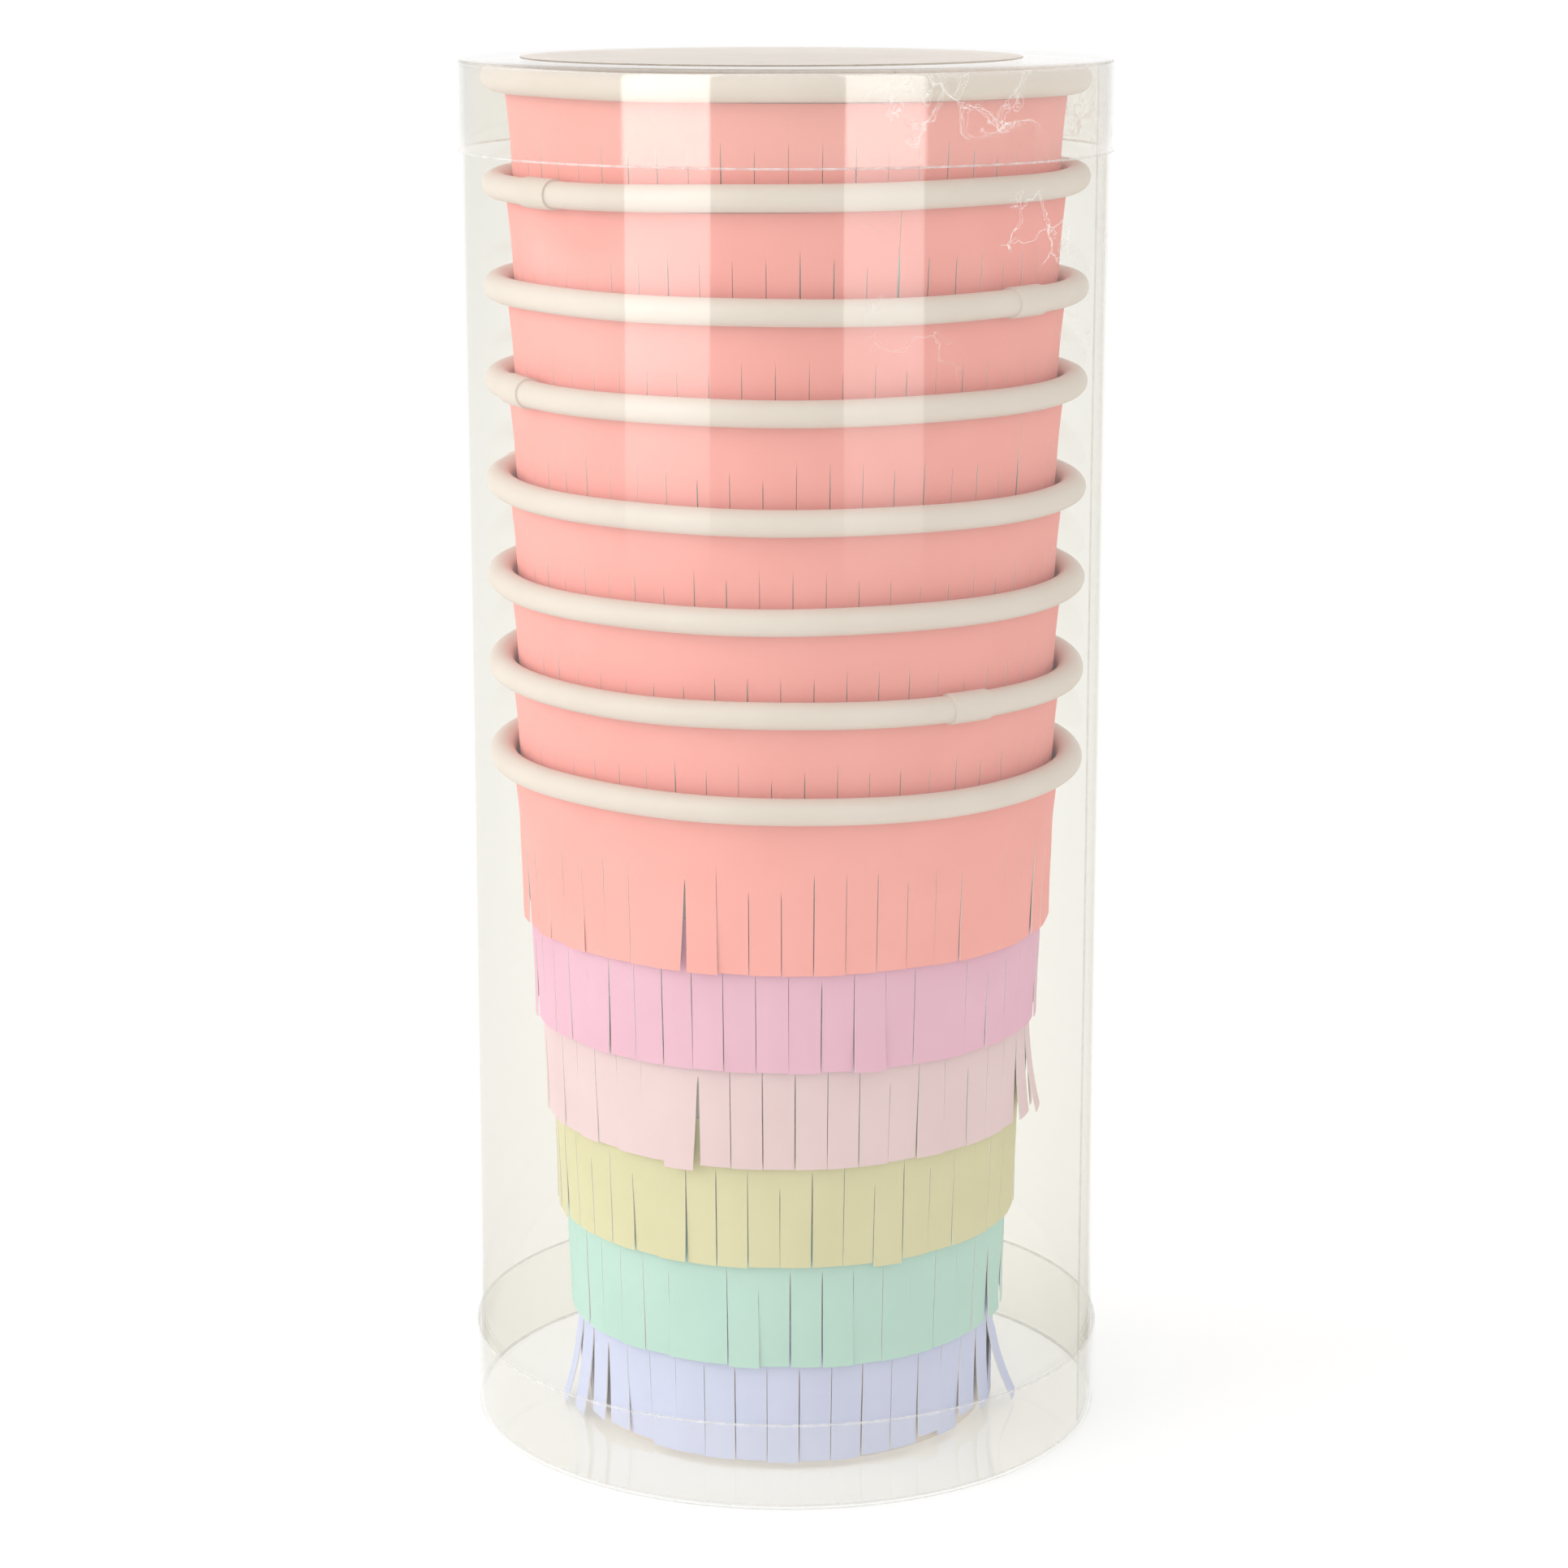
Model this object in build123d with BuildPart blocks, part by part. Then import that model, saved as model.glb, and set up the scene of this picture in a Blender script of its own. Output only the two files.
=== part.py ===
from build123d import *
from itertools import accumulate
from math import atan, cos, degrees, pi, sin, tan
import os

# Eight nested paper party cups with layered paper fringes, packed in a clear round tube
# with a push-on cap at each end. Millimetres, +Z up along the tube. The origin is on the
# axis, on the underside of the base cap.

# Clear package
package_height = 191.5
tube_radius = 44.0
tube_sheet = 0.3
tube_end_gap = 0.3
seam_width = 7.6
seam_direction = -13.0
cap_clearance = 0.3
cap_sheet = 0.35
cap_skirt = 12.5
cap_corner = 1.2
label_radius = 34.2
label_paper = 0.12
label_centre = (-2.0, 1.0)

# One cup, in heights above its own foot
cup_height = 96.7
rim_radius = 41.5
rim_bead = 1.8
rim_curl = 286.0
cup_lean = atan(0.1053)
paper = 0.35
hem_height = 5.25

# Fringe bands: each is glued to the wall along its header and cut into strips below that.
# Its strips hang over the header of the band under it.
fringe_paper = 0.2
header_height = 7.2
strip_length = 13.8
strip_overhang = 8.2
strip_width = 4.2
slit_width = 0.3
slit_reach = 6.0
fringe_hems = {
    "coral": 72.0,
    "orchid": 58.1,
    "blush": 44.2,
    "yellow": 29.6,
    "mint": 14.8,
    "lavender": 0.5,
}

# The stack: the lowest cup stands on the base cap, and each next one hangs in the cup
# under it, this much higher and turned this far round
first_foot = 0.5
cup_steps = [12.7, 12.5, 13.0, 14.2, 12.9, 14.4, 13.8]
cup_turn = 47.0

os.makedirs("parts", exist_ok=True)


def save(piece, name):
    """Label a finished sub-part and write it as its own STEP file."""
    piece.part.label = name
    export_step(piece.part, f"parts/{name}.step")


# ---- Clear package ----

cap_inner = tube_radius + cap_clearance
cap_outer = cap_inner + cap_sheet
lid_side = Plane(origin=(0, 0, package_height), x_dir=(1, 0, 0), z_dir=(0, 1, 0))

# A cap is a thin disc with a skirt and a rounded corner. The lid is the base turned over.
for name, side in (("base_cap", Plane.XZ), ("lid_cap", lid_side)):
    with BuildPart() as cap:
        with BuildSketch(side):
            with BuildLine():
                outside = FilletPolyline(
                    (0, 0), (cap_outer, 0), (cap_outer, cap_skirt), radius=cap_corner
                )
                inside = FilletPolyline(
                    (cap_inner, cap_skirt), (cap_inner, cap_sheet), (0, cap_sheet),
                    radius=cap_corner - cap_sheet,
                )
                Line(outside @ 1, inside @ 0)
                Line(inside @ 1, outside @ 0)
            make_face()
        revolve(axis=Axis.Z)
    save(cap, name)

# The tube is one sheet rolled up. Its ends stop just short of the caps' discs.
tube_bottom = cap_sheet + tube_end_gap
tube_length = package_height - 2 * tube_bottom
with BuildPart() as tube:
    with BuildSketch(Plane.XY.offset(tube_bottom)):
        Circle(tube_radius)
        Circle(tube_radius - tube_sheet, mode=Mode.SUBTRACT)
    extrude(amount=tube_length)
save(tube, "tube")

# The sheet's end laps under its start, glued, in a narrow strip from end to end
lap_outer = tube_radius - tube_sheet
seam_angle = degrees(seam_width / tube_radius)
with BuildPart() as tube_seam:
    with BuildSketch(Plane.XY.offset(tube_bottom)):
        with BuildLine():
            start_angle = seam_direction - seam_angle / 2
            outer_arc = CenterArc((0, 0), lap_outer, start_angle, seam_angle)
            inner_arc = CenterArc((0, 0), lap_outer - tube_sheet, start_angle, seam_angle)
            Line(outer_arc @ 0, inner_arc @ 0)
            Line(outer_arc @ 1, inner_arc @ 1)
        make_face()
    extrude(amount=tube_length)
save(tube_seam, "tube_seam")

# A blank round label, stuck on the lid a little off centre
with BuildPart() as lid_label:
    with BuildSketch(Plane.XY.offset(package_height)):
        with Locations(label_centre):
            Circle(label_radius)
    extrude(amount=label_paper)
save(lid_label, "lid_label")


# ---- Cups ----

# The wall runs up into the rolled rim, tangent to its bead
bead_x = rim_radius - rim_bead
bead_z = cup_height - rim_bead
wall_top_x = bead_x - rim_bead * cos(cup_lean)
wall_top_z = bead_z + rim_bead * sin(cup_lean)
wall_layer = paper / cos(cup_lean)
fringe_layer = fringe_paper / cos(cup_lean)


def inner_face(height):
    """The radius of the wall's inner face at a height above the foot."""
    return wall_top_x - (wall_top_z - height) * tan(cup_lean)


def outer_face(height):
    """The radius of the wall's outer face at a height above the foot."""
    return inner_face(height) + wall_layer


floor_height = hem_height + paper
feet = list(accumulate(cup_steps, initial=first_foot))
for number, foot in enumerate(feet, start=1):
    side = Plane(origin=(0, 0, foot), x_dir=(1, 0, 0), z_dir=(0, -1, 0))
    turn = cup_turn * number

    # Wall, rolled rim, and the hem at the foot: the wall folded in and up round the floor's
    # turned-down skirt, three layers glued into one
    with BuildPart() as wall:
        with BuildSketch(side):
            with BuildLine():
                start_angle = 180.0 - degrees(cup_lean)
                bead = CenterArc((bead_x, bead_z), rim_bead, start_angle, -rim_curl)
                bead_inside = CenterArc(
                    (bead_x, bead_z), rim_bead - paper, start_angle, -rim_curl
                )
                Line(bead @ 1, bead_inside @ 1)
                Polyline(
                    bead @ 0,
                    (inner_face(hem_height), hem_height),
                    (inner_face(hem_height) - 2 * wall_layer, hem_height),
                    (inner_face(0) - 2 * wall_layer, 0),
                    (outer_face(0), 0),
                    bead_inside @ 0,
                )
            make_face()
        revolve(axis=Axis.Z)
    save(wall, f"cup_{number}_wall")

    # Floor disc, on top of the hem
    with BuildPart() as floor:
        with BuildSketch(side):
            with BuildLine():
                Polyline(
                    (0, hem_height),
                    (inner_face(hem_height), hem_height),
                    (inner_face(floor_height), floor_height),
                    (0, floor_height),
                    close=True,
                )
            make_face()
        revolve(axis=Axis.Z)
    save(floor, f"cup_{number}_floor")

    # The lowest cup's bands are all in view. The others hide theirs inside the stack, all but
    # the coral one, so their hidden bands are joined in pairs and left uncut.
    if number == 1:
        groups = [[band] for band in fringe_hems]
    else:
        groups = [["coral"], ["orchid", "blush"], ["yellow", "mint"], ["lavender"]]
    for group in groups:
        with BuildPart() as fringe:
            for band in group:
                hem = fringe_hems[band]
                slit_top = hem + strip_length
                header_top = slit_top + header_height
                lifted = hem + strip_overhang
                inner_line = [
                    (outer_face(hem) + fringe_layer, hem),
                    (outer_face(lifted) + fringe_layer, lifted),
                    (outer_face(slit_top), slit_top),
                    (outer_face(header_top), header_top),
                ]
                outer_line = [(x + fringe_layer, z) for x, z in reversed(inner_line)]
                with BuildSketch(side):
                    with BuildLine():
                        Polyline(*inner_line, *outer_line, close=True)
                    make_face()
                revolve(axis=Axis.Z)
                if number == 1 or band == "coral":
                    strips = round(2 * pi * outer_face(hem) / strip_width)
                    with BuildSketch(Plane.XY.offset(foot + hem)):
                        with PolarLocations(outer_face(hem), strips, start_angle=turn):
                            Rectangle(slit_reach, slit_width)
                    extrude(amount=strip_length, mode=Mode.SUBTRACT)
        save(fringe, f"cup_{number}_fringe_{'_'.join(group)}")
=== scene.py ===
import math
import random

import bpy
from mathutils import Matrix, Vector


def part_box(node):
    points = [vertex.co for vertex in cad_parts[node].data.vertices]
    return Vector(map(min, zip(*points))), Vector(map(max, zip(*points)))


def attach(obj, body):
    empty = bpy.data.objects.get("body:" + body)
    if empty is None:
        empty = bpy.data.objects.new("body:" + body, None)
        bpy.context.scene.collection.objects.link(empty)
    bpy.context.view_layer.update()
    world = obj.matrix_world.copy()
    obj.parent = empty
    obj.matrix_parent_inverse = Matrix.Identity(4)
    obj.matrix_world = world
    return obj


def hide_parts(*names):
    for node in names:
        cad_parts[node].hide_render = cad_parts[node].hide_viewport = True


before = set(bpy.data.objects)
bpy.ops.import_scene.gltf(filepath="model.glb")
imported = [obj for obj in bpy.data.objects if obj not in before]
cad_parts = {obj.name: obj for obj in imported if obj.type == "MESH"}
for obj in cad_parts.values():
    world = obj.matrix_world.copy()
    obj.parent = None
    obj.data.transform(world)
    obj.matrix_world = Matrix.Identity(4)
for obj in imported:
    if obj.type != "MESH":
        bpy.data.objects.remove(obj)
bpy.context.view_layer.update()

# Eight nested paper party cups, with layered paper fringes, in a clear tube with a push-on cap at
# each end. Metres, +Z up, the front at -Y. An angle is measured round the axis from the front
# towards +X.

MM = 0.001
CUPS = range(1, 9)
BANDS = ["coral", "orchid", "blush", "yellow", "mint", "lavender"]

# ---- Sizes shared with the CAD model. A cup's heights are above its own foot. ----

PAPER = 0.35 * MM
BEAD = 1.8 * MM
CURL_TURN = math.radians(286)
LEAN = math.atan(0.1053)
HEM_HEIGHT = 5.25 * MM
STRIP_LENGTH = 13.8 * MM
HEADER_HEIGHT = 7.2 * MM
STRIP_WIDTH = 4.2 * MM
FRINGE_PAPER = 0.2 * MM
TUBE_RADIUS = 44.0 * MM
SHEET = 0.3 * MM
CAP_RADIUS = 44.65 * MM
CAP_SHEET = 0.35 * MM
CAP_CORNER = 1.2 * MM

cup_low, cup_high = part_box("cup_1_wall")
CUP_HEIGHT = cup_high.z - cup_low.z
RIM_RADIUS = cup_high.x
WALL_LAYER = PAPER / math.cos(LEAN)
FOOT = {k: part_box(f"cup_{k}_wall")[0].z for k in CUPS}
HEM = {band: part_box(f"cup_1_fringe_{band}")[0].z - FOOT[1] for band in BANDS}
TUBE_LOW, TUBE_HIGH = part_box("tube")
LID_LOW, LID_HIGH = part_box("lid_cap")
BASE_LOW, BASE_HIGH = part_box("base_cap")


def inner_face(height):
    """The radius of a cup wall's inner face at a height above its foot."""
    top_x = RIM_RADIUS - BEAD - BEAD * math.cos(LEAN)
    top_z = CUP_HEIGHT - BEAD + BEAD * math.sin(LEAN)
    return top_x - (top_z - height) * math.tan(LEAN)


def outer_face(height):
    return inner_face(height) + WALL_LAYER


def at(angle, radius, height):
    """A point at that angle from the front."""
    return (radius * math.sin(angle), -radius * math.cos(angle), height)


def smooth(t):
    """0 to 1 as t goes from 0 to 1, with a soft start and end."""
    t = min(max(t, 0.0), 1.0)
    return t * t * (3 - 2 * t)


# ---- Materials ----


def new_material(name):
    material = bpy.data.materials.new(name)
    material.use_nodes = True
    material.node_tree.nodes.clear()
    return material, material.node_tree


def add(tree, kind, **values):
    """Add a node, and set its inputs by name or its own properties."""
    node = tree.nodes.new(kind)
    for key, value in values.items():
        socket = key.replace("_", " ")
        if socket in node.inputs:
            node.inputs[socket].default_value = value
        else:
            setattr(node, key, value)
    return node


def wire(tree, a, out, b, into):
    tree.links.new(a.outputs[out], b.inputs[into])


def noise(tree, scale, detail, stretch=(1, 1, 1)):
    """Noise in object space, at scale cycles a metre times stretch along each axis."""
    place = add(tree, "ShaderNodeTexCoord")
    mapping = add(tree, "ShaderNodeMapping", Scale=stretch)
    texture = add(tree, "ShaderNodeTexNoise", Scale=scale, Detail=detail)
    wire(tree, place, "Object", mapping, "Vector")
    wire(tree, mapping, 0, texture, "Vector")
    return texture


def ranged(tree, source, out, low, high, to_low, to_high):
    """source's values from low to high, stretched to run from to_low to to_high."""
    node = add(tree, "ShaderNodeMapRange")
    ends = {"From Min": low, "From Max": high, "To Min": to_low, "To Max": to_high}
    for name, value in ends.items():
        node.inputs[name].default_value = value
    wire(tree, source, out, node, "Value")
    return node


def colour_mix(tree, low, high):
    """A colour mix between two fixed colours, whose factor is left to wire."""
    mix = add(tree, "ShaderNodeMix", data_type="RGBA")
    mix.inputs[6].default_value = (*low, 1)
    mix.inputs[7].default_value = (*high, 1)
    return mix


def bumped(tree, shader, texture, strength, distance):
    """Bump on a shader from a texture's Fac."""
    bump = add(tree, "ShaderNodeBump", Strength=strength, Distance=distance)
    wire(tree, texture, "Fac", bump, "Height")
    wire(tree, bump, 0, shader, "Normal")


def shader_mix(tree, share, a, b):
    """Shader b over shader a, by that share."""
    mix = add(tree, "ShaderNodeMixShader")
    wire(tree, share, 0, mix, 0)
    wire(tree, a, 0, mix, 1)
    wire(tree, b, 0, mix, 2)
    return mix


def tinted_gap(tree, tint):
    """A shader that lets everything straight through, with a tint."""
    return add(tree, "ShaderNodeBsdfTransparent", Color=(*tint, 1))


COAT_ROUGHNESS = 0.3
FIBRE_SHARE = 0.16
FIBRE_DEPTH = 0.06 * MM
ROUGHNESS_SPREAD = 0.06


def paper_material(name, colour, shade, roughness=0.85, fibre=0.02, gloss=0.15, coat=0.0):
    """Matte paper: soft mottling between colour and shade, with a fine fibre grain and bump."""
    material, tree = new_material(name)
    out = add(tree, "ShaderNodeOutputMaterial")
    shader = add(tree, "ShaderNodeBsdfPrincipled", Coat_Weight=coat)
    shader.inputs["Coat Roughness"].default_value = COAT_ROUGHNESS
    shader.inputs["Specular IOR Level"].default_value = gloss
    clouds = noise(tree, 90.0, 3.0)
    fibres = noise(tree, 1500.0, 3.0, stretch=(1, 1, 0.25))
    blend = add(tree, "ShaderNodeMath", operation="MULTIPLY_ADD")
    blend.inputs[1].default_value = FIBRE_SHARE
    wire(tree, fibres, "Fac", blend, 0)
    mottling = ranged(tree, clouds, "Fac", 0.3, 0.7, 0.0, 0.6)
    wire(tree, mottling, 0, blend, 2)
    mix = colour_mix(tree, colour, shade)
    wire(tree, blend, 0, mix, 0)
    tree.links.new(mix.outputs[2], shader.inputs["Base Color"])
    smoothest, roughest = roughness - ROUGHNESS_SPREAD, min(roughness + ROUGHNESS_SPREAD, 1.0)
    rough = ranged(tree, fibres, "Fac", 0.3, 0.7, smoothest, roughest)
    wire(tree, rough, 0, shader, "Roughness")
    bumped(tree, shader, fibres, fibre, FIBRE_DEPTH)
    wire(tree, shader, 0, out, 0)
    return material


def cheap_rays(tree, shader, colour):
    """Let light and bounced light straight through with only a tint, to keep clear pieces quick."""
    for kind in ("Is Diffuse Ray", "Is Shadow Ray"):
        path = add(tree, "ShaderNodeLightPath")
        mix = add(tree, "ShaderNodeMixShader")
        wire(tree, path, kind, mix, 0)
        wire(tree, shader, 0, mix, 1)
        wire(tree, tinted_gap(tree, colour), 0, mix, 2)
        shader = mix
    return shader


# The scuffs lie above this height and to the right of this x, and fade in over a short way. The
# width is in the Voronoi texture's own units.
SCUFF_LOW, SCUFF_LEFT = 150 * MM, 8 * MM
SCUFF_FADE_UP, SCUFF_FADE_ACROSS = 15 * MM, 10 * MM
SCUFF_BEND = 0.012
SCUFF_WIDTH = 0.010


def scuff_share(tree, most):
    """How much a scuff covers: fine crooked lines, in patches, at the tube's upper right."""
    place = add(tree, "ShaderNodeTexCoord")
    bend = add(tree, "ShaderNodeMix", data_type="VECTOR")
    bend.inputs[0].default_value = SCUFF_BEND
    wire(tree, place, "Object", bend, 4)
    wire(tree, noise(tree, 130.0, 4.0), "Color", bend, 5)
    cells = add(tree, "ShaderNodeTexVoronoi", feature="DISTANCE_TO_EDGE", Scale=120.0)
    tree.links.new(bend.outputs[1], cells.inputs["Vector"])
    line = ranged(tree, cells, "Distance", 0.0, SCUFF_WIDTH, 1.0, 0.0)
    patches = ranged(tree, noise(tree, 60.0, 2.0), "Fac", 0.475, 0.535, 0.0, most)
    spot = add(tree, "ShaderNodeSeparateXYZ")
    wire(tree, place, "Object", spot, 0)
    upper = ranged(tree, spot, "Z", SCUFF_LOW, SCUFF_LOW + SCUFF_FADE_UP, 0.0, 1.0)
    right = ranged(tree, spot, "X", SCUFF_LEFT, SCUFF_LEFT + SCUFF_FADE_ACROSS, 0.0, 1.0)
    share = line
    for limit in (patches, upper, right):
        product = add(tree, "ShaderNodeMath", operation="MULTIPLY")
        wire(tree, share, 0, product, 0)
        wire(tree, limit, 0, product, 1)
        share = product
    return share


FACING_MIRROR = 0.04
WAVE_STRENGTH, WAVE_DEPTH = 0.25, 0.6 * MM


def clear_material(name, tint, edge_on, grazing, scuffs):
    """Thin clear plastic: seen straight through, with a tint that is edge_on darker where the sheet
    is seen edge on, a mirror that grows to the share grazing at grazing angles, and pale scuffs
    that cover up to the share scuffs."""
    material, tree = new_material(name)
    out = add(tree, "ShaderNodeOutputMaterial")
    facing = add(tree, "ShaderNodeLayerWeight", Blend=0.5)
    path = colour_mix(tree, tint, [c - edge_on for c in tint])
    wire(tree, facing, "Facing", path, 0)
    through = add(tree, "ShaderNodeBsdfTransparent")
    tree.links.new(path.outputs[2], through.inputs["Color"])
    mirror = add(tree, "ShaderNodeBsdfPrincipled", Metallic=1.0, Roughness=0.05)
    mirror.inputs["Base Color"].default_value = (0.98, 0.98, 0.98, 1)
    waves = noise(tree, 14.0, 1.0, stretch=(1, 1, 0.3))
    bumped(tree, mirror, waves, WAVE_STRENGTH, WAVE_DEPTH)
    power = add(tree, "ShaderNodeMath", operation="POWER")
    power.inputs[1].default_value = 5.0
    wire(tree, facing, "Facing", power, 0)
    share = ranged(tree, power, 0, 0.0, 1.0, FACING_MIRROR, grazing)
    glass = shader_mix(tree, share, through, mirror)
    white = add(tree, "ShaderNodeBsdfPrincipled", Roughness=0.6)
    white.inputs["Base Color"].default_value = (0.95, 0.94, 0.92, 1)
    scuffed = shader_mix(tree, scuff_share(tree, scuffs), glass, white)
    wire(tree, cheap_rays(tree, scuffed, tint), 0, out, 0)
    return material


COVER_SPREAD = 0.08


def painted_edge_line_material(name, seen_through, surface, cover):
    """A cut or folded edge of clear sheet as a painted line: a surface colour that covers the share
    cover, over a darker see-through tint. It is painted glint and shade standing in for how light
    catches the edge.
    """
    material, tree = new_material(name)
    out = add(tree, "ShaderNodeOutputMaterial")
    painted_line_surface = add(tree, "ShaderNodeBsdfPrincipled", Roughness=0.25)
    painted_line_surface.inputs["Base Color"].default_value = (*surface, 1)
    least, most = cover - COVER_SPREAD, cover + COVER_SPREAD
    share = ranged(tree, noise(tree, 700.0, 2.0), "Fac", 0.35, 0.65, least, most)
    mix = shader_mix(tree, share, tinted_gap(tree, seen_through), painted_line_surface)
    wire(tree, cheap_rays(tree, mix, seen_through), 0, out, 0)
    return material


def label_material():
    """A translucent satin sticker: part seen through, part cloudy."""
    material, tree = new_material("label_film")
    tint = (0.93, 0.90, 0.86)
    out = add(tree, "ShaderNodeOutputMaterial")
    film = add(tree, "ShaderNodeBsdfPrincipled", Roughness=0.35)
    clouds = noise(tree, 60.0, 3.0)
    mix = colour_mix(tree, (0.85, 0.79, 0.73), (0.80, 0.74, 0.68))
    wire(tree, clouds, "Fac", mix, 0)
    tree.links.new(mix.outputs[2], film.inputs["Base Color"])
    bumped(tree, film, noise(tree, 900.0, 2.0), 0.1, 0.05 * MM)
    share = ranged(tree, clouds, "Fac", 0.3, 0.7, 0.62, 0.70)
    both = shader_mix(tree, share, tinted_gap(tree, tint), film)
    wire(tree, cheap_rays(tree, both, tint), 0, out, 0)
    return material


# Each band's paper: the colours its mottling runs between
FRINGE_COLOUR = {
    "coral": ((0.933, 0.414, 0.390), (0.884, 0.371, 0.342)),
    "orchid": ((0.797, 0.475, 0.623), (0.748, 0.423, 0.560)),
    "blush": ((0.783, 0.608, 0.643), (0.727, 0.553, 0.589)),
    "yellow": ((0.686, 0.662, 0.420), (0.631, 0.603, 0.366)),
    "mint": ((0.485, 0.712, 0.654), (0.439, 0.659, 0.596)),
    "lavender": ((0.608, 0.651, 0.876), (0.553, 0.596, 0.816)),
}
fringe_paper = {b: paper_material(f"{b}_paper", *FRINGE_COLOUR[b]) for b in BANDS}
paper_core = paper_material(
    "torn_paper_edge", (0.93, 0.90, 0.88), (0.85, 0.82, 0.80), roughness=0.95, fibre=0.1
)
cup_board = paper_material(
    "cream_board", (0.750, 0.680, 0.634), (0.694, 0.622, 0.569), roughness=0.5, fibre=0.04,
    gloss=0.3, coat=0.05,
)
tube_clear = clear_material(
    "clear_tube_sheet", (0.966, 0.962, 0.942), edge_on=0.036, grazing=0.3, scuffs=0.65
)
cap_clear = clear_material(
    "clear_cap_sheet", (0.993, 0.989, 0.981), edge_on=0.0, grazing=0.95, scuffs=0.4
)
label_film = label_material()
# Painted edge lines: the cut edge's pale line is a painted glint, and its darker see-through tint
# is painted shade. The fold's dark line is painted shade.
cut_edge_painted_glint_and_shade = painted_edge_line_material("cut_clear_edge_painted_glint_and_shade", (0.90, 0.89, 0.88), (0.94, 0.94, 0.93), 0.24)
fold_edge_painted_shade = painted_edge_line_material("folded_clear_edge_painted_shade", (0.90, 0.89, 0.87), (0.42, 0.40, 0.37), 0.16)

# ---- Mesh helpers ----


def make_piece(name, verts, faces, body, materials, replaced, indices=None, sharp=40):
    """Make one piece from its mesh data, on its body, in place of the replaced nodes. Edges sharper
    than sharp degrees show."""
    mesh = bpy.data.meshes.new(name)
    mesh.from_pydata(verts, [], faces)
    for material in materials:
        mesh.materials.append(material)
    if indices:
        mesh.polygons.foreach_set("material_index", indices)
    mesh.validate()
    mesh.shade_smooth()
    mesh.set_sharp_from_angle(angle=math.radians(sharp))
    piece = bpy.data.objects.new(name, mesh)
    bpy.context.scene.collection.objects.link(piece)
    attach(piece, body)
    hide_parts(*replaced)


def lathe(outline, angles, shape=None, marks=None):
    """Turn a closed outline of (radius, height) round the axis. shape moves each point, and marks
    gives the material of the faces that follow an outline point, 0 if it isn't there."""
    verts, faces, indices, rings = [], [], [], []
    marks = marks or {}
    count = len(angles)
    for index, (radius, height) in enumerate(outline):
        if radius == 0:
            rings.append([len(verts)] * count)
            verts.append((0, 0, shape(0, 0, height, index)[1] if shape else height))
            continue
        rings.append(range(len(verts), len(verts) + count))
        for angle in angles:
            r, h = shape(angle, radius, height, index) if shape else (radius, height)
            verts.append(at(angle, r, h))
    for index, (a, b) in enumerate(zip(rings, rings[1:] + rings[:1])):
        for i in range(count):
            j = (i + 1) % count
            face = [a[i], a[j], b[j], b[i]]
            face = [v for n, v in enumerate(face) if v not in face[:n]]
            if len(face) > 2:
                faces.append(face)
                indices.append(marks.get(index, 0))
    return verts, faces, indices


def turns(count, *extra):
    """Evenly spaced angles round a circle, with a tight pair at each extra angle for a step."""
    step = math.radians(0.06)
    angles = [2 * math.pi * i / count for i in range(count)]
    for angle in extra:
        angles += [(angle - step) % (2 * math.pi), (angle + step) % (2 * math.pi)]
    return sorted(angles)


def arc(centre, radius, start, sweep, count):
    """Points along an arc, both ends included."""
    steps = [start + sweep * i / count for i in range(count + 1)]
    return [(centre[0] + radius * math.cos(a), centre[1] + radius * math.sin(a)) for a in steps]


def thicken(verts, faces, thickness):
    """Close a sheet round the axis into a thin solid by pushing a copy outwards. Edge faces get
    material 1."""
    count = len(verts)
    top = []
    for x, y, z in verts:
        grown = 1 + thickness / math.hypot(x, y)
        top.append((x * grown, y * grown, z))
    solid = [tuple(n + count for n in f) for f in faces]
    under = [tuple(reversed(f)) for f in faces]
    edges = {(a, b): True for face in faces for a, b in zip(face, face[1:] + face[:1])}
    sides = [(a, b, b + count, a + count) for a, b in edges if (b, a) not in edges]
    return verts + top, solid + under + sides, [0] * (2 * len(faces)) + [1] * len(sides)


# ---- Cups ----

# How each cup sits: the drop of its rim at the right, and where its wall's seam runs
RIM_SLANT = [v * MM for v in (0.5, 0.45, 0.15, 0.45, 0.12, 0.15, -0.5, 0.1)]
WALL_SEAM = [math.radians(v) for v in (140, 37, 200, 250, -64, 52, -54, 160)]
SEAM_WIDTH = math.radians(9)
SEAM_STEP = 0.28 * MM
RIPPLE, FINE_RIPPLE = 0.09 * MM, 0.05 * MM
RIPPLE_FROM = 0.8
WALL_STEPS = 12
BEAD_INSIDE_STEPS, BEAD_STEPS = 28, 36
CUP_TURNS = 160


def settle(k, x, height):
    """How far a cup's point at that x and height moves up, for the cup sits unevenly."""
    return -RIM_SLANT[k - 1] * x / RIM_RADIUS * (height / CUP_HEIGHT) ** 3


def wall_outline():
    """The wall's section: up the outside, round the rim, down the inside and into the hem."""
    bead = (RIM_RADIUS - BEAD, CUP_HEIGHT - BEAD)
    start = math.pi - LEAN
    inside = arc(bead, BEAD - PAPER, start, -CURL_TURN, BEAD_INSIDE_STEPS)
    outside = arc(bead, BEAD, start - CURL_TURN, CURL_TURN, BEAD_STEPS)
    rise = [i / WALL_STEPS for i in range(WALL_STEPS)]
    up = [(outer_face(t * inside[0][1]), t * inside[0][1]) for t in rise]
    falls = [HEM_HEIGHT + (1 - t) * (outside[-1][1] - HEM_HEIGHT) for t in rise[1:]]
    down = [(inner_face(height), height) for height in falls]
    hem = [
        (inner_face(HEM_HEIGHT), HEM_HEIGHT),
        (inner_face(HEM_HEIGHT) - 2 * WALL_LAYER, HEM_HEIGHT),
        (inner_face(0) - 2 * WALL_LAYER, 0.0),
    ]
    return up + inside + outside + down + hem


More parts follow.
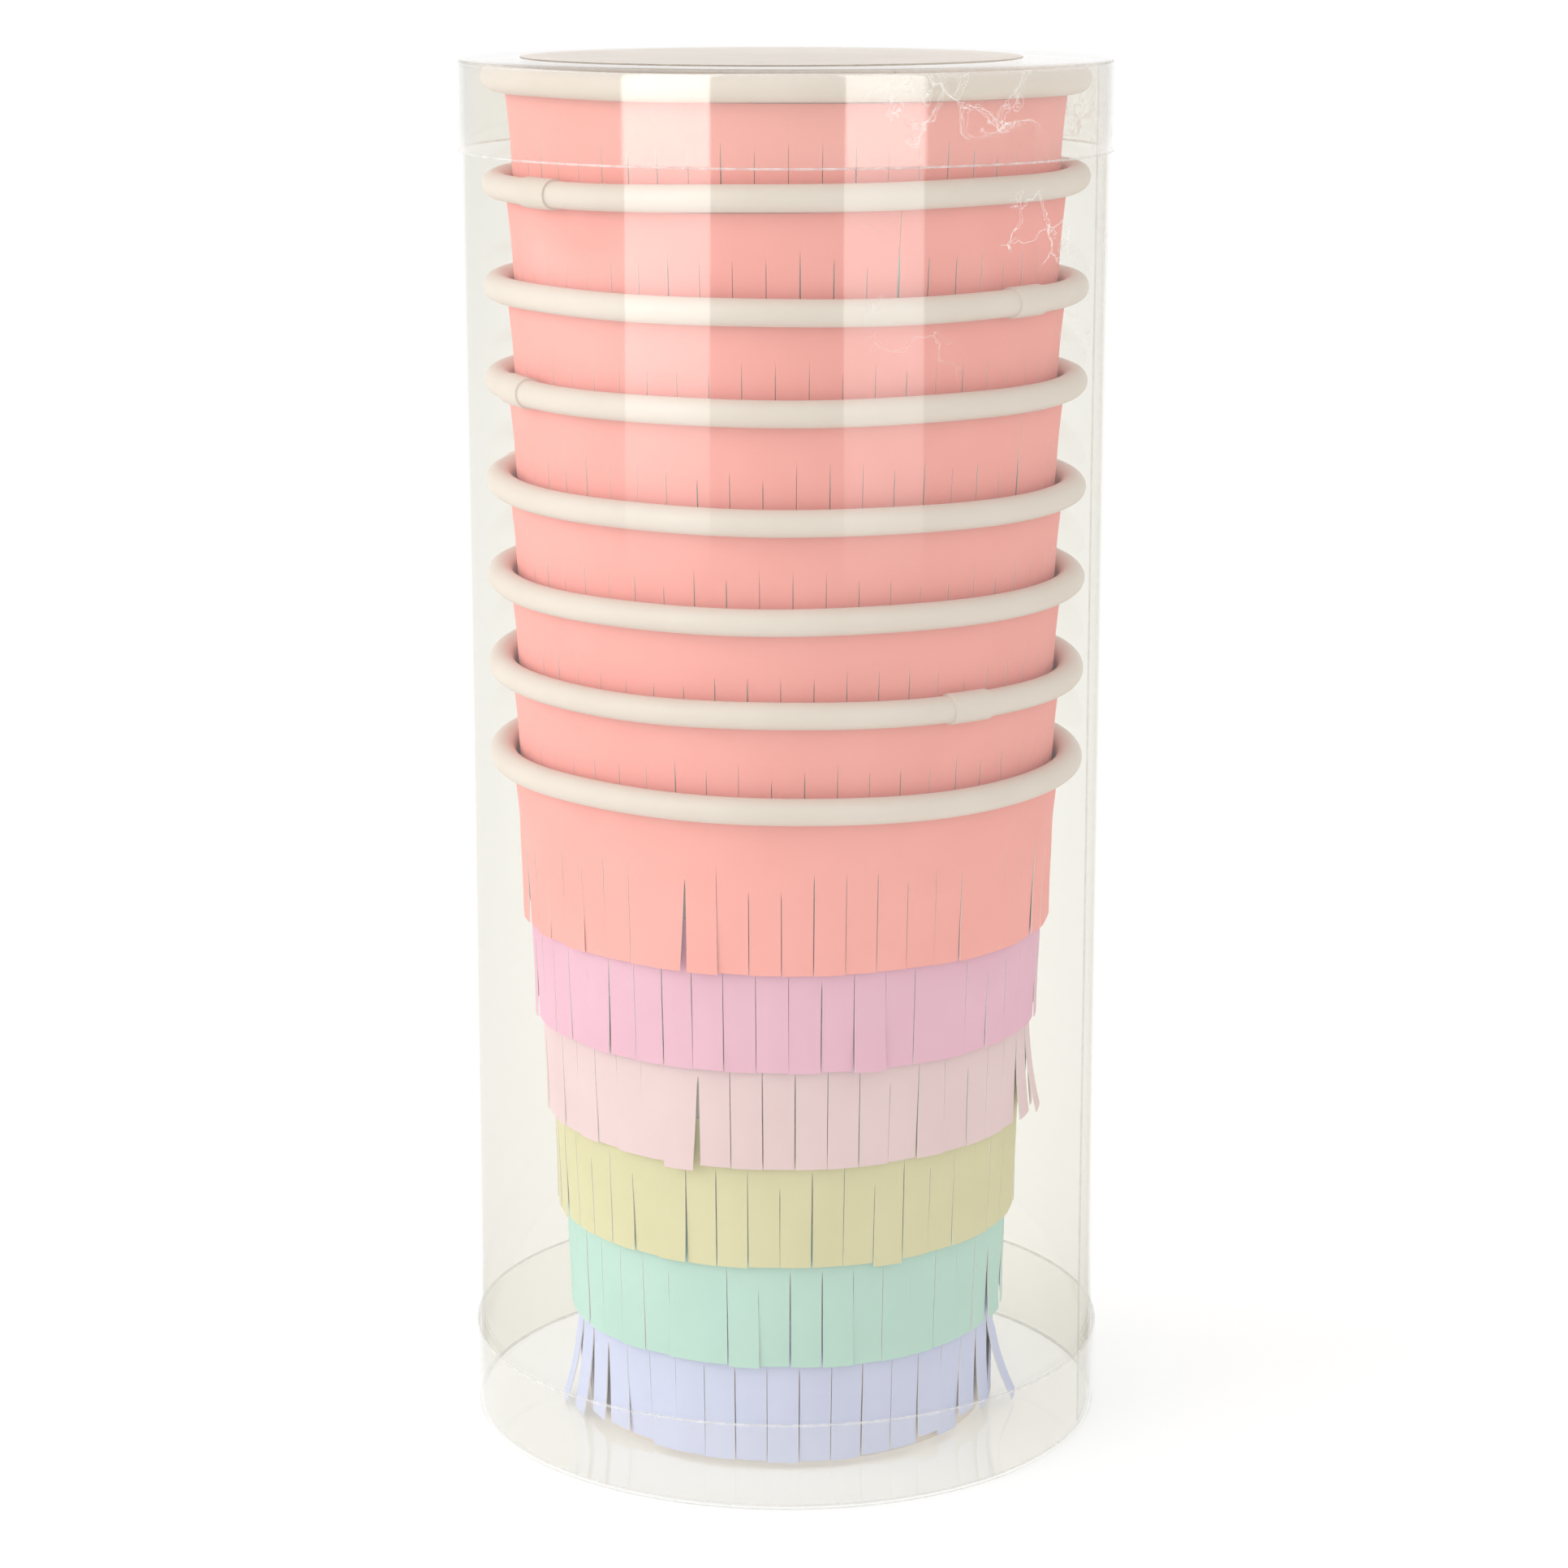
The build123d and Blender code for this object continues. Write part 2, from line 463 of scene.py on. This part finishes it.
def cup_wall(k):
    """Wall and rim, with a step on the rim where the side seam doubles the paper."""
    seam = WALL_SEAM[k - 1]
    wave = random.Random(100 + k).uniform(0, 6)
    centre_x, centre_z = RIM_RADIUS - BEAD, CUP_HEIGHT - BEAD

    def shape(angle, radius, height, index):
        off = (angle - seam + math.pi) % (2 * math.pi) - math.pi
        on_bead = height > CUP_HEIGHT - 2 * BEAD and index >= WALL_STEPS
        if on_bead and abs(off) < SEAM_WIDTH / 2:
            away = math.hypot(radius - centre_x, height - centre_z)
            radius += (radius - centre_x) / away * SEAM_STEP
            height += (height - centre_z) / away * SEAM_STEP
        ripple = RIPPLE * math.sin(3 * angle + wave) + FINE_RIPPLE * math.sin(7 * angle + 2 * wave)
        height += ripple * smooth((height / CUP_HEIGHT - RIPPLE_FROM) / (1 - RIPPLE_FROM))
        height += settle(k, radius * math.sin(angle), height)
        return radius, height + FOOT[k]

    angles = turns(CUP_TURNS, seam - SEAM_WIDTH / 2, seam + SEAM_WIDTH / 2)
    verts, faces, _ = lathe(wall_outline(), angles, shape)
    make_piece(f"cup_{k}_board", verts, faces, f"cup_{k}", [cup_board],
               [f"cup_{k}_wall"], sharp=50)


# Strips that hang out of line on the lowest cup, by their angle in degrees: how far they swing
# sideways at the hem, drop, and stand out, in mm. The ones past 90 degrees are invented.
LOOSE = {
    "coral": [
        (-24.5, -0.75, 0.0, 0.4), (-18.5, 0.1, 0.1, 0.2), (-48, 0.3, 0.0, 0.1),
        (-66, 0.4, 0.0, 0.2), (165, 0.5, 0.2, 0.4),
    ],
    "orchid": [
        (16, 0.0, 1.5, 0.5), (20, 0.0, 0.0, 0.2), (-43, -0.25, 0.0, 0.1), (-150, -0.6, 0.5, 0.5),
    ],
    "blush": [
        (-22, -0.8, 0.8, 0.5), (-34, -0.3, 0.0, 0.2), (75, 0.4, -0.3, 1.2), (82, 0.9, 0.0, 2.0),
        (88, 0.5, 0.3, 1.0), (140, 0.5, 0.6, 0.5),
    ],
    "yellow": [(22, 0.0, 0.5, 0.2), (-25, -0.2, 0.0, 0.1)],
    "mint": [
        (-12, 0.15, 0.1, 0.1), (12, 0.1, 0.0, 0.2), (70, 0.3, -0.5, 0.6), (-165, -0.5, 0.3, 0.5),
    ],
    "lavender": [
        (-80, -2.6, 0.6, 2.6), (-72, -1.6, 0.4, 1.5), (-64, -0.9, -0.6, 0.6),
        (-56, 1.2, -1.0, 0.3), (-48, 0.3, -0.9, 0.1), (-40, 0.1, -0.5, 0.0),
        (22, 0.0, -0.2, 0.0), (30, 0.0, -0.4, 0.1), (38, -0.1, -0.9, 0.2), (46, 0.1, -1.3, 0.3),
        (56, -0.2, -1.8, 0.6), (65, 0.9, -1.0, 0.8), (78, 2.2, -0.5, 3.6), (118, 1.4, -0.6, 1.8),
        (150, -0.9, -0.3, 0.7), (-172, 0.8, -0.7, 0.9), (-135, -1.6, -0.8, 2.0),
        (-112, 0.6, -0.4, 0.8),
    ],
}
# The lowest cup's first slit in each band, its slits that weren't cut, and the edge of a nested
# cup's coral band, by their angle in degrees
FIRST_SLIT = {
    "coral": -1.0, "orchid": 0.5, "blush": 2.0, "yellow": -1.5, "mint": 1.0, "lavender": 3.5,
}
UNCUT = {"orchid": [36.5], "coral": [47.0], "mint": [-25.0]}
BAND_SEAM = {5: 58.0, 7: 24.0}
BAND_SEAM_GAP = 0.2 * MM

# A band's mesh: columns across a strip, rows in its header and the height of its strips' rows, and
# how many rows below the header a slit starts, which is past the hem for one that was never cut and
# above the header for one that parts the whole band
COLUMNS = 4
HEADER_ROWS = 3
ROW = 1.15 * MM
START_ROWS_FREE = (0, 0, 1, 1, 2, 3)
START_ROWS_NESTED = (0, 0, 0, 1, 1, 2)
NEVER_CUT = 99
CUT_WHOLE = -4
SLIT_GAPS = [v * MM for v in (0.045, 0.055, 0.065, 0.09)]
SLIT_RISE_FREE = 1.2 * MM
SLIT_RISE_NESTED = 2.4 * MM
FRINGE_SHEET = 0.16 * MM
GLUE_GAP = 0.03 * MM

# How a strip hangs, along its length: the share of it that climbs over the band below, and the
# powers by which it flares, swings and drops towards the hem, and how far its curl bulges
CLIMB = 0.42
FLARE_POWER, SWING_POWER, DROP_POWER = 1.7, 1.2, 1.5
BULGE = 0.2


def turned_away(a, b):
    """The angle between two directions."""
    return abs((a - b + math.pi) % (2 * math.pi) - math.pi)


class Strip:
    """One strip's own swing, drop, flare, twist and curl."""

    def __init__(self, rng, angle, free):
        self.angle = angle
        self.swing = rng.uniform(-0.06, 0.06) * MM
        self.drop = rng.uniform(-0.12, 0.12) * MM
        self.flare = rng.uniform(0.6, 1.0) * MM if free else rng.uniform(0.0, 0.12) * MM
        self.twist = rng.uniform(-0.045, 0.045) if free else rng.uniform(-0.02, 0.02)
        self.curl = rng.uniform(-0.05, 0.16) if free else 0.0


def fringe_band(k, band):
    """One band of fringe round a cup: a glued header, and strips cut from it that hang free on the
    lowest cup and lie flat between the nested ones."""
    rng = random.Random(f"{k} {band}")
    free = k == 1
    hem = HEM[band]
    slit_top = hem + STRIP_LENGTH + (SLIT_RISE_FREE if free else SLIT_RISE_NESTED)
    header_top = hem + STRIP_LENGTH + HEADER_HEIGHT
    strips = round(2 * math.pi * outer_face(hem) / STRIP_WIDTH)
    pitch = 2 * math.pi / strips
    first = math.radians(FIRST_SLIT[band]) if free else rng.uniform(0, pitch)
    hung = [Strip(rng, first + (i + 0.5) * pitch, free) for i in range(strips)]
    if free:
        for degrees, swing, drop, flare in LOOSE[band]:
            near = min(hung, key=lambda strip: turned_away(strip.angle, math.radians(degrees)))
            near.swing = swing * MM
            near.drop = drop * MM
            near.flare += flare * MM

    def slit_at(degrees):
        return round((math.radians(degrees) - first) / pitch) % strips

    # Slit i is at the left of strip i
    starts = [rng.choice(START_ROWS_FREE if free else START_ROWS_NESTED) for _ in range(strips)]
    if free:
        for degrees in UNCUT.get(band, []):
            starts[slit_at(degrees)] = NEVER_CUT
    gaps = [rng.choice(SLIT_GAPS) for _ in range(strips)]
    if band == "coral" and k in BAND_SEAM:
        starts[slit_at(BAND_SEAM[k])] = CUT_WHOLE
        gaps[slit_at(BAND_SEAM[k])] = BAND_SEAM_GAP
    header = [header_top - i * (header_top - slit_top) / HEADER_ROWS for i in range(HEADER_ROWS)]
    rows = round((slit_top - hem) / ROW)
    heights = header + [slit_top - i * (slit_top - hem) / rows for i in range(rows + 1)]
    layer = FRINGE_PAPER / math.cos(LEAN)

    def place(strip, across, height, left_gap, right_gap):
        """The point of a strip at across (-1 to 1 of its half width) and height, between the gaps
        of the slits at its sides, which open below the header."""
        t = max(0.0, (slit_top - height) / (slit_top - hem))
        half = pitch * outer_face(height) / 2
        opening = min(1.0, 6 * t) if free else min(1.0, 0.2 + 5 * t)
        u = across * half
        if across < 0:
            u += left_gap * opening * -across
        else:
            u -= right_gap * opening * across
        radius = outer_face(height) + layer * smooth(t / CLIMB) + GLUE_GAP
        bulge = BULGE * strip.curl * (1 - across * across) * t * half
        radius += strip.flare * t ** FLARE_POWER + strip.twist * u * t + bulge
        u += strip.swing * t ** SWING_POWER
        h = height - strip.drop * t ** DROP_POWER
        x, y, z = at(strip.angle + u / outer_face(height), radius, h)
        return x, y, z + FOOT[k] + settle(k, x, h)

    verts = []
    width = COLUMNS + 1
    grid = [[None] * (strips * width) for _ in heights]
    for row, height in enumerate(heights):
        for i, strip in enumerate(hung):
            before, after = (i - 1) % strips, (i + 1) % strips
            joined_left = row <= HEADER_ROWS + starts[i]
            joined_right = row <= HEADER_ROWS + starts[after]
            for c in range(width):
                # Above a slit, two strips share one point, halfway between the two
                if c == 0 and joined_left and i > 0:
                    grid[row][i * width] = grid[row][before * width + COLUMNS]
                    continue
                if c == COLUMNS and joined_right and after == 0:
                    grid[row][i * width + c] = grid[row][0]
                    continue
                across = 2 * c / COLUMNS - 1
                point = place(strip, across, height, gaps[i], gaps[after])
                if (c == 0 and joined_left) or (c == COLUMNS and joined_right):
                    other = before if c == 0 else after
                    gap = gaps[i] if c == 0 else gaps[after]
                    twin = place(hung[other], -across, height, gap, gap)
                    point = tuple((a + b) / 2 for a, b in zip(point, twin))
                grid[row][i * width + c] = len(verts)
                verts.append(point)
    faces = []
    for upper, lower in zip(grid, grid[1:]):
        for i in range(strips):
            for a in range(i * width, i * width + COLUMNS):
                faces.append([lower[a], lower[a + 1], upper[a + 1], upper[a]])
    return thicken(verts, faces, FRINGE_SHEET)


def cup_fringes(k):
    """A cup's six bands, each in place of the node that has it."""
    for band in BANDS:
        verts, faces, indices = fringe_band(k, band)
        nodes = [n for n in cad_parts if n.startswith(f"cup_{k}_fringe_") and band in n]
        make_piece(f"cup_{k}_{band}_strips", verts, faces, f"cup_{k}",
                   [fringe_paper[band], paper_core], nodes, indices, sharp=45)


for k in CUPS:
    cup_wall(k)
    cup_fringes(k)
    floor_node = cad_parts[f"cup_{k}_floor"]
    floor_node.data.materials.clear()
    floor_node.data.materials.append(cup_board)

# ---- Clear tube, caps and label ----

# The lap of the tube's sheet, and the narrow band along a cut edge that gets the painted glint and
# shade line
LAP_ANGLE = math.radians(77)
LAP_SPAN = math.radians(10)
LAP_GAP = 0.04 * MM
LAP_SHEET = 0.9 * SHEET
LAP_COLUMNS = 10
PAINTED_EDGE_BAND = 0.14 * MM
TUBE_ROWS = 24
ROUND_STEPS = 240

# How far the rolled sheet and the caps are from round
UNEVEN, FINE_UNEVEN = 0.05 * MM, 0.03 * MM
CAP_UNEVEN = 0.02 * MM


def wobble(angle, height):
    """How far the rolled sheet stands out at that place."""
    wave = UNEVEN * math.sin(2 * angle + 25 * height)
    return wave + FINE_UNEVEN * math.sin(5 * angle - 60 * height)


def tube():
    """The rolled sheet, and the lap of its end inside its start."""
    low, high = TUBE_LOW.z, TUBE_HIGH.z
    steps = [low + (high - low) * i / TUBE_ROWS for i in range(TUBE_ROWS + 1)]
    cut = [low, low + PAINTED_EDGE_BAND] + steps[1:-1] + [high - PAINTED_EDGE_BAND, high]
    outline = [(TUBE_RADIUS, h) for h in cut] + [(TUBE_RADIUS - SHEET, h) for h in reversed(cut)]

    # The ends, and the narrow bands next to them, get the cut edge's painted glint and shade line
    last = len(cut) - 1
    marks = {i: 1 for i in (0, last - 1, last, last + 1, 2 * last, 2 * last + 1)}

    def shape(angle, radius, height, index):
        return radius + wobble(angle, height) - UNEVEN, height

    verts, faces, indices = lathe(outline, turns(ROUND_STEPS), shape, marks)
    make_piece("tube_sheet", verts, faces, "tube", [tube_clear, cut_edge_painted_glint_and_shade],
               ["tube"], indices)
    lap = TUBE_RADIUS - 2 * SHEET - LAP_GAP - UNEVEN
    width = LAP_COLUMNS + 1
    across = [LAP_ANGLE + LAP_SPAN * (i / LAP_COLUMNS - 0.5) for i in range(width)]
    verts = [at(angle, lap + wobble(angle, h), h) for h in steps for angle in across]
    faces = []
    for row in range(TUBE_ROWS):
        for a in range(row * width, row * width + LAP_COLUMNS):
            faces.append([a, a + 1, a + width + 1, a + width])
    verts, faces, indices = thicken(verts, faces, LAP_SHEET)
    # The lap's cut sides get the fold's painted dark line, which is painted shade.
    make_piece("tube_lap", verts, faces, "tube", [cap_clear, fold_edge_painted_shade],
               ["tube_seam"], indices)


def cap(name, node, body, low, high, up):
    """A cap as a thin dish: disc, rounded corner and skirt, with a rounded lip. up is False for the
    lid, which is turned over."""
    height = high - low
    turn = (CAP_RADIUS - CAP_CORNER, CAP_CORNER)
    corner = arc(turn, CAP_CORNER, -math.pi / 2, math.pi / 2, 8)
    inner_corner = arc(turn, CAP_CORNER - CAP_SHEET, 0, -math.pi / 2, 6)
    lip_centre = (CAP_RADIUS - CAP_SHEET / 2, height - CAP_SHEET / 2)
    lip = arc(lip_centre, CAP_SHEET / 2, 0, math.pi, 6)
    disc = [0.0, 12 * MM, 24 * MM, 36 * MM]
    skirt = [height * f for f in (0.3, 0.5, 0.7, 0.9)] + [lip_centre[1] - PAINTED_EDGE_BAND]
    outline = [(r, 0.0) for r in disc] + corner + [(CAP_RADIUS, h) for h in skirt] + lip
    outline += [(CAP_RADIUS - CAP_SHEET, h) for h in reversed(skirt)] + inner_corner
    outline += [(r, CAP_SHEET) for r in reversed(disc)]

    # The lip gets the cut edge's painted glint and shade line, and the middle of the rounded corner
    # gets the fold's painted dark line, which is painted shade
    lip_start = len(disc) + len(corner) + len(skirt)
    marks = {i: 1 for i in range(lip_start - 1, lip_start + len(lip))}
    marks.update({len(disc) + i: 2 for i in (3, 4)})

    def shape(angle, radius, h, index):
        wave = CAP_UNEVEN * (math.sin(3 * angle + 40 * h) - 1)
        return radius + wave, low + h if up else high - h

    verts, faces, indices = lathe(outline, turns(ROUND_STEPS), shape, marks)
    if not up:
        faces = [face[::-1] for face in faces]
    make_piece(name, verts, faces, body, [cap_clear, cut_edge_painted_glint_and_shade, fold_edge_painted_shade],
               [node], indices, sharp=35)


LABEL_ROUNDING = 0.05 * MM
LABEL_TURNS = 160


def label():
    """The blank round sticker, with slightly rounded edges."""
    low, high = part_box("lid_label")
    centre = (low + high) / 2
    radius = (high.x - low.x) / 2
    thick = high.z - low.z
    rings = [r * MM for r in (0, 10, 20, 30)]
    edge = radius - LABEL_ROUNDING
    outline = [(r, 0.0) for r in rings] + [(edge, 0.0), (radius, 0.3 * thick)]
    outline += [(radius, 0.7 * thick), (edge, thick)] + [(r, thick) for r in reversed(rings)]
    # The label's rounded edge gets the fold's painted dark line, which is painted shade.
    marks = {len(rings) + i: 1 for i in range(3)}
    verts, faces, indices = lathe(outline, turns(LABEL_TURNS), marks=marks)
    verts = [(x + centre.x, y + centre.y, z + low.z) for x, y, z in verts]
    make_piece("round_label", verts, faces, "lid", [label_film, fold_edge_painted_shade],
               ["lid_label"], indices)


tube()
cap("base_dish", "base_cap", "base_cap", BASE_LOW.z, BASE_HIGH.z, up=True)
cap("lid_dish", "lid_cap", "lid", LID_LOW.z, LID_HIGH.z, up=False)
label()

# ---- Floor, light and camera ----

FLOOR_REACH = 25.0
FLOOR_SIDES = 96
FLOOR_GREY = 0.62
FLOOR_GLOW = 0.40


def plain_floor():
    """A round floor, reaching well past what the camera sees, with a glow like a light table's."""
    mesh = bpy.data.meshes.new("floor")
    ring = [at(2 * math.pi * i / FLOOR_SIDES, FLOOR_REACH, 0.0) for i in range(FLOOR_SIDES)]
    mesh.from_pydata(ring, [], [list(range(FLOOR_SIDES))])
    obj = bpy.data.objects.new("floor", mesh)
    bpy.context.scene.collection.objects.link(obj)
    grey, shade = (FLOOR_GREY,) * 3, (FLOOR_GREY - 0.005,) * 3
    pale = paper_material("pale_floor", grey, shade, roughness=0.9, fibre=0.0)
    surface = next(n for n in pale.node_tree.nodes if n.type == "BSDF_PRINCIPLED")
    surface.inputs["Emission Color"].default_value = (1, 1, 1, 1)
    surface.inputs["Emission Strength"].default_value = FLOOR_GLOW
    obj.data.materials.append(pale)


def softbox(name, centre, target, size, glow, mirrored_only=False):
    """A rectangular lamp aimed at target, whose face is glow times as bright as plain white. The
    camera doesn't see it, and either only glossy surfaces do or only the rest."""
    data = bpy.data.lights.new(name, "AREA")
    data.shape = "RECTANGLE"
    data.size, data.size_y = size
    data.energy = glow * math.pi * size[0] * size[1]
    lamp = bpy.data.objects.new(name, data)
    lamp.location = centre
    lamp.rotation_euler = (Vector(target) - Vector(centre)).to_track_quat("-Z", "Y").to_euler()
    lamp.visible_camera = False
    lamp.visible_diffuse = not mirrored_only
    lamp.visible_glossy = mirrored_only
    bpy.context.scene.collection.objects.link(lamp)
    return lamp


# A strip lamp's face dims to nothing between the first two heights, and ends at the third
DIM_FROM, DIM_TO = 0.105, 0.028
LAMP_TOP = 0.92


def strip_lamp(name, x, y, width, glow):
    """A tall lamp that only glossy surfaces mirror, dimming towards its lower end."""
    middle = (DIM_TO + LAMP_TOP) / 2
    size = (width, LAMP_TOP - DIM_TO)
    lamp = softbox(name, (x, y, middle), (0, 0, middle), size, glow, mirrored_only=True)
    lamp.data.use_nodes = True
    tree = lamp.data.node_tree
    glowing = next(n for n in tree.nodes if n.type == "EMISSION")
    face = add(tree, "ShaderNodeNewGeometry")
    parts = add(tree, "ShaderNodeSeparateXYZ")
    wire(tree, face, "Position", parts, 0)
    ramp = ranged(tree, parts, "Z", DIM_TO, DIM_FROM, 0.0, 1.0)
    wire(tree, ramp, 0, glowing, "Strength")


WORLD_GLOW = 1.01
SOFTBOX_SIZE = (1.6, 1.4)
AIM = (0, 0, 0.1)


def studio():
    """White surroundings, a key lamp far to the left, a weak fill at the right, and the two strips
    that the tube mirrors."""
    world = bpy.data.worlds.new("studio")
    bpy.context.scene.world = world
    world.use_nodes = True
    background = world.node_tree.nodes["Background"]
    background.inputs["Color"].default_value = (1.0, 1.0, 1.0, 1)
    background.inputs["Strength"].default_value = WORLD_GLOW
    strip_lamp("left_strip", -0.39, -0.45, width=0.33, glow=2.3)
    strip_lamp("right_strip", 0.328, -0.496, width=0.295, glow=1.9)
    softbox("key", (-1.81, -0.385, 0.7), AIM, SOFTBOX_SIZE, glow=2.9)
    softbox("fill", (1.8, -0.7, 0.5), AIM, SOFTBOX_SIZE, glow=0.35)


CAMERA_X = -0.0003
CAMERA_BACK = 0.5355
CAMERA_UP = 0.21075
CAMERA_PITCH = math.radians(11.41)
CAMERA_LENS = 89.4
CAMERA_SHIFT = -0.055


def camera():
    data = bpy.data.cameras.new("camera")
    data.lens = CAMERA_LENS
    data.sensor_width = 36
    data.shift_y = CAMERA_SHIFT
    obj = bpy.data.objects.new("camera", data)
    obj.location = (CAMERA_X, -CAMERA_BACK, CAMERA_UP)
    obj.rotation_euler = (math.pi / 2 - CAMERA_PITCH, 0, 0)
    bpy.context.scene.collection.objects.link(obj)
    bpy.context.scene.camera = obj


plain_floor()
studio()
camera()
bpy.context.scene.view_settings.view_transform = "Standard"
bpy.context.scene.cycles.transparent_max_bounces = 32
